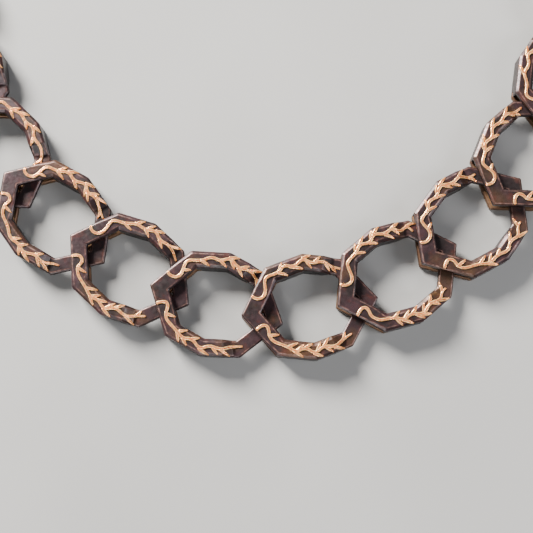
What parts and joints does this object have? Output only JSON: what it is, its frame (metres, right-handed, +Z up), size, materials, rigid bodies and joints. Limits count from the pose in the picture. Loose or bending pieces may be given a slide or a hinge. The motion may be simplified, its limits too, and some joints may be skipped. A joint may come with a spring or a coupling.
{
  "type": "chain necklace",
  "caption": "Flat-link chain necklace: slotted octagonal rings whose thin tongues pass through forked neighbours on rivets, with a flat trigger clasp.",
  "frame": {"origin": "under the middle of the necklace's bounding box, on the surface that it lies on", "axes": "+Z up out of the decorated faces, +X from the clasp side to the free tongue's side, +Y from the lowest link towards the two ends"},
  "size_m": [0.1906, 0.186, 0.0056],
  "materials": {
    "patinated_bronze": "dark aubergine-brown patina with rubbed reddish edges",
    "bare_bronze": "unpatinated brown-golden bronze with fine file strokes",
    "copper": "satin rose copper, pale where rubbed",
    "spring_steel": "satin"
  },
  "bodies": {
    "link_01": {"link_01_ring": "patinated_bronze", "link_01_rear_plate": "bare_bronze", "link_01_rivet": "copper"},
    "link_02": {"link_02_ring": "patinated_bronze", "link_02_rear_plate": "bare_bronze", "link_02_rivet": "copper"},
    "link_03": {"link_03_ring": "patinated_bronze", "link_03_rear_plate": "bare_bronze", "link_03_rivet": "copper"},
    "link_04": {"link_04_ring": "patinated_bronze", "link_04_rear_plate": "bare_bronze", "link_04_rivet": "copper"},
    "link_05": {"link_05_ring": "patinated_bronze", "link_05_rear_plate": "bare_bronze", "link_05_rivet": "copper"},
    "link_06": {"link_06_ring": "patinated_bronze", "link_06_rear_plate": "bare_bronze", "link_06_rivet": "copper"},
    "link_07": {"link_07_ring": "patinated_bronze", "link_07_rear_plate": "bare_bronze", "link_07_rivet": "copper"},
    "link_08": {"link_08_ring": "patinated_bronze", "link_08_rear_plate": "bare_bronze", "link_08_rivet": "copper"},
    "link_09": {"link_09_ring": "patinated_bronze", "link_09_rear_plate": "bare_bronze", "link_09_rivet": "copper"},
    "link_10": {"link_10_ring": "patinated_bronze", "link_10_rear_plate": "bare_bronze", "link_10_rivet": "copper"},
    "link_11": {"link_11_ring": "patinated_bronze", "link_11_rear_plate": "bare_bronze", "link_11_rivet": "copper"},
    "link_12": {"link_12_ring": "patinated_bronze", "link_12_rear_plate": "bare_bronze", "link_12_rivet": "copper"},
    "link_13": {"link_13_ring": "patinated_bronze", "link_13_rear_plate": "bare_bronze", "link_13_rivet": "copper"},
    "link_14": {"link_14_ring": "patinated_bronze", "link_14_rear_plate": "bare_bronze", "link_14_rivet": "copper"},
    "link_15": {"link_15_ring": "patinated_bronze", "link_15_rear_plate": "bare_bronze", "link_15_rivet": "copper"},
    "link_16": {"link_16_ring": "patinated_bronze", "link_16_rear_plate": "bare_bronze", "link_16_rivet": "copper"},
    "link_17": {"link_17_ring": "patinated_bronze", "link_17_rear_plate": "bare_bronze", "link_17_rivet": "copper"},
    "link_18": {"link_18_ring": "patinated_bronze", "link_18_rear_plate": "bare_bronze", "link_18_rivet": "copper"},
    "clasp": {"clasp_body": "patinated_bronze", "clasp_pin": "copper", "clasp_spring": "spring_steel"},
    "trigger": {"clasp_trigger": "patinated_bronze"}
  },
  "joints": [
    {"name": "link_09_to_link_10", "type": "hinge", "parent": "link_09", "child": "link_10", "pos_m": [0.02055, -0.07961, 0.00275], "axis": [0, 0, 1], "range_deg": [-46.5, 6.5]},
    {"name": "link_10_to_link_11", "type": "hinge", "parent": "link_10", "child": "link_11", "pos_m": [0.03991, -0.0694, 0.00275], "axis": [0, 0, 1], "range_deg": [-39.5, 13.5]},
    {"name": "link_11_to_link_12", "type": "hinge", "parent": "link_11", "child": "link_12", "pos_m": [0.05648, -0.0551, 0.00275], "axis": [0, 0, 1], "range_deg": [-40, 13]},
    {"name": "link_12_to_link_13", "type": "hinge", "parent": "link_12", "child": "link_13", "pos_m": [0.06926, -0.03732, 0.00275], "axis": [0, 0, 1], "range_deg": [-40.5, 12.5]},
    {"name": "link_13_to_link_14", "type": "hinge", "parent": "link_13", "child": "link_14", "pos_m": [0.07735, -0.01699, 0.00275], "axis": [0, 0, 1], "range_deg": [-35.5, 17.5]},
    {"name": "link_14_to_link_15", "type": "hinge", "parent": "link_14", "child": "link_15", "pos_m": [0.08216, 0.00436, 0.00275], "axis": [0, 0, 1], "range_deg": [-35.5, 17.5]},
    {"name": "link_15_to_link_16", "type": "hinge", "parent": "link_15", "child": "link_16", "pos_m": [0.08357, 0.02621, 0.00275], "axis": [0, 0, 1], "range_deg": [-37.5, 15.5]},
    {"name": "link_16_to_link_17", "type": "hinge", "parent": "link_16", "child": "link_17", "pos_m": [0.08079, 0.04792, 0.00275], "axis": [0, 0, 1], "range_deg": [-39.5, 13.5]},
    {"name": "link_17_to_link_18", "type": "hinge", "parent": "link_17", "child": "link_18", "pos_m": [0.0732, 0.06844, 0.00275], "axis": [0, 0, 1], "range_deg": [-39.5, 13.5]},
    {"name": "link_08_to_link_09", "type": "hinge", "parent": "link_09", "child": "link_08", "pos_m": [-0.00113, -0.08258, 0.00275], "axis": [0, 0, 1], "range_deg": [-2.5, 50.5]},
    {"name": "link_07_to_link_08", "type": "hinge", "parent": "link_08", "child": "link_07", "pos_m": [-0.02215, -0.07647, 0.00275], "axis": [0, 0, 1], "range_deg": [-12.5, 40.5]},
    {"name": "link_06_to_link_07", "type": "hinge", "parent": "link_07", "child": "link_06", "pos_m": [-0.04107, -0.06546, 0.00275], "axis": [0, 0, 1], "range_deg": [-15, 38]},
    {"name": "link_05_to_link_06", "type": "hinge", "parent": "link_06", "child": "link_05", "pos_m": [-0.05741, -0.0509, 0.00275], "axis": [0, 0, 1], "range_deg": [-10.5, 42.5]},
    {"name": "link_04_to_link_05", "type": "hinge", "parent": "link_05", "child": "link_04", "pos_m": [-0.0691, -0.0324, 0.00275], "axis": [0, 0, 1], "range_deg": [-17.5, 35.5]},
    {"name": "link_03_to_link_04", "type": "hinge", "parent": "link_04", "child": "link_03", "pos_m": [-0.07776, -0.0123, 0.00275], "axis": [0, 0, 1], "range_deg": [-16.5, 36.5]},
    {"name": "link_02_to_link_03", "type": "hinge", "parent": "link_03", "child": "link_02", "pos_m": [-0.0828, 0.009, 0.00275], "axis": [0, 0, 1], "range_deg": [-14.5, 38.5]},
    {"name": "link_01_to_link_02", "type": "hinge", "parent": "link_02", "child": "link_01", "pos_m": [-0.08329, 0.03088, 0.00275], "axis": [0, 0, 1], "range_deg": [-14.5, 38.5]},
    {"name": "clasp_swivel", "type": "hinge", "parent": "link_01", "child": "clasp", "pos_m": [-0.07923, 0.05239, 0.00275], "axis": [0, 0, 1], "range_deg": [-48, 72]},
    {"name": "clasp_trigger_hinge", "type": "hinge", "parent": "clasp", "child": "trigger", "pos_m": [-0.07725, 0.06023, 0.00275], "axis": [0, 0, 1], "range_deg": [-32, 0], "stiffness_Nm_per_rad": 0.002, "springref_deg": 20.05}
  ]
}
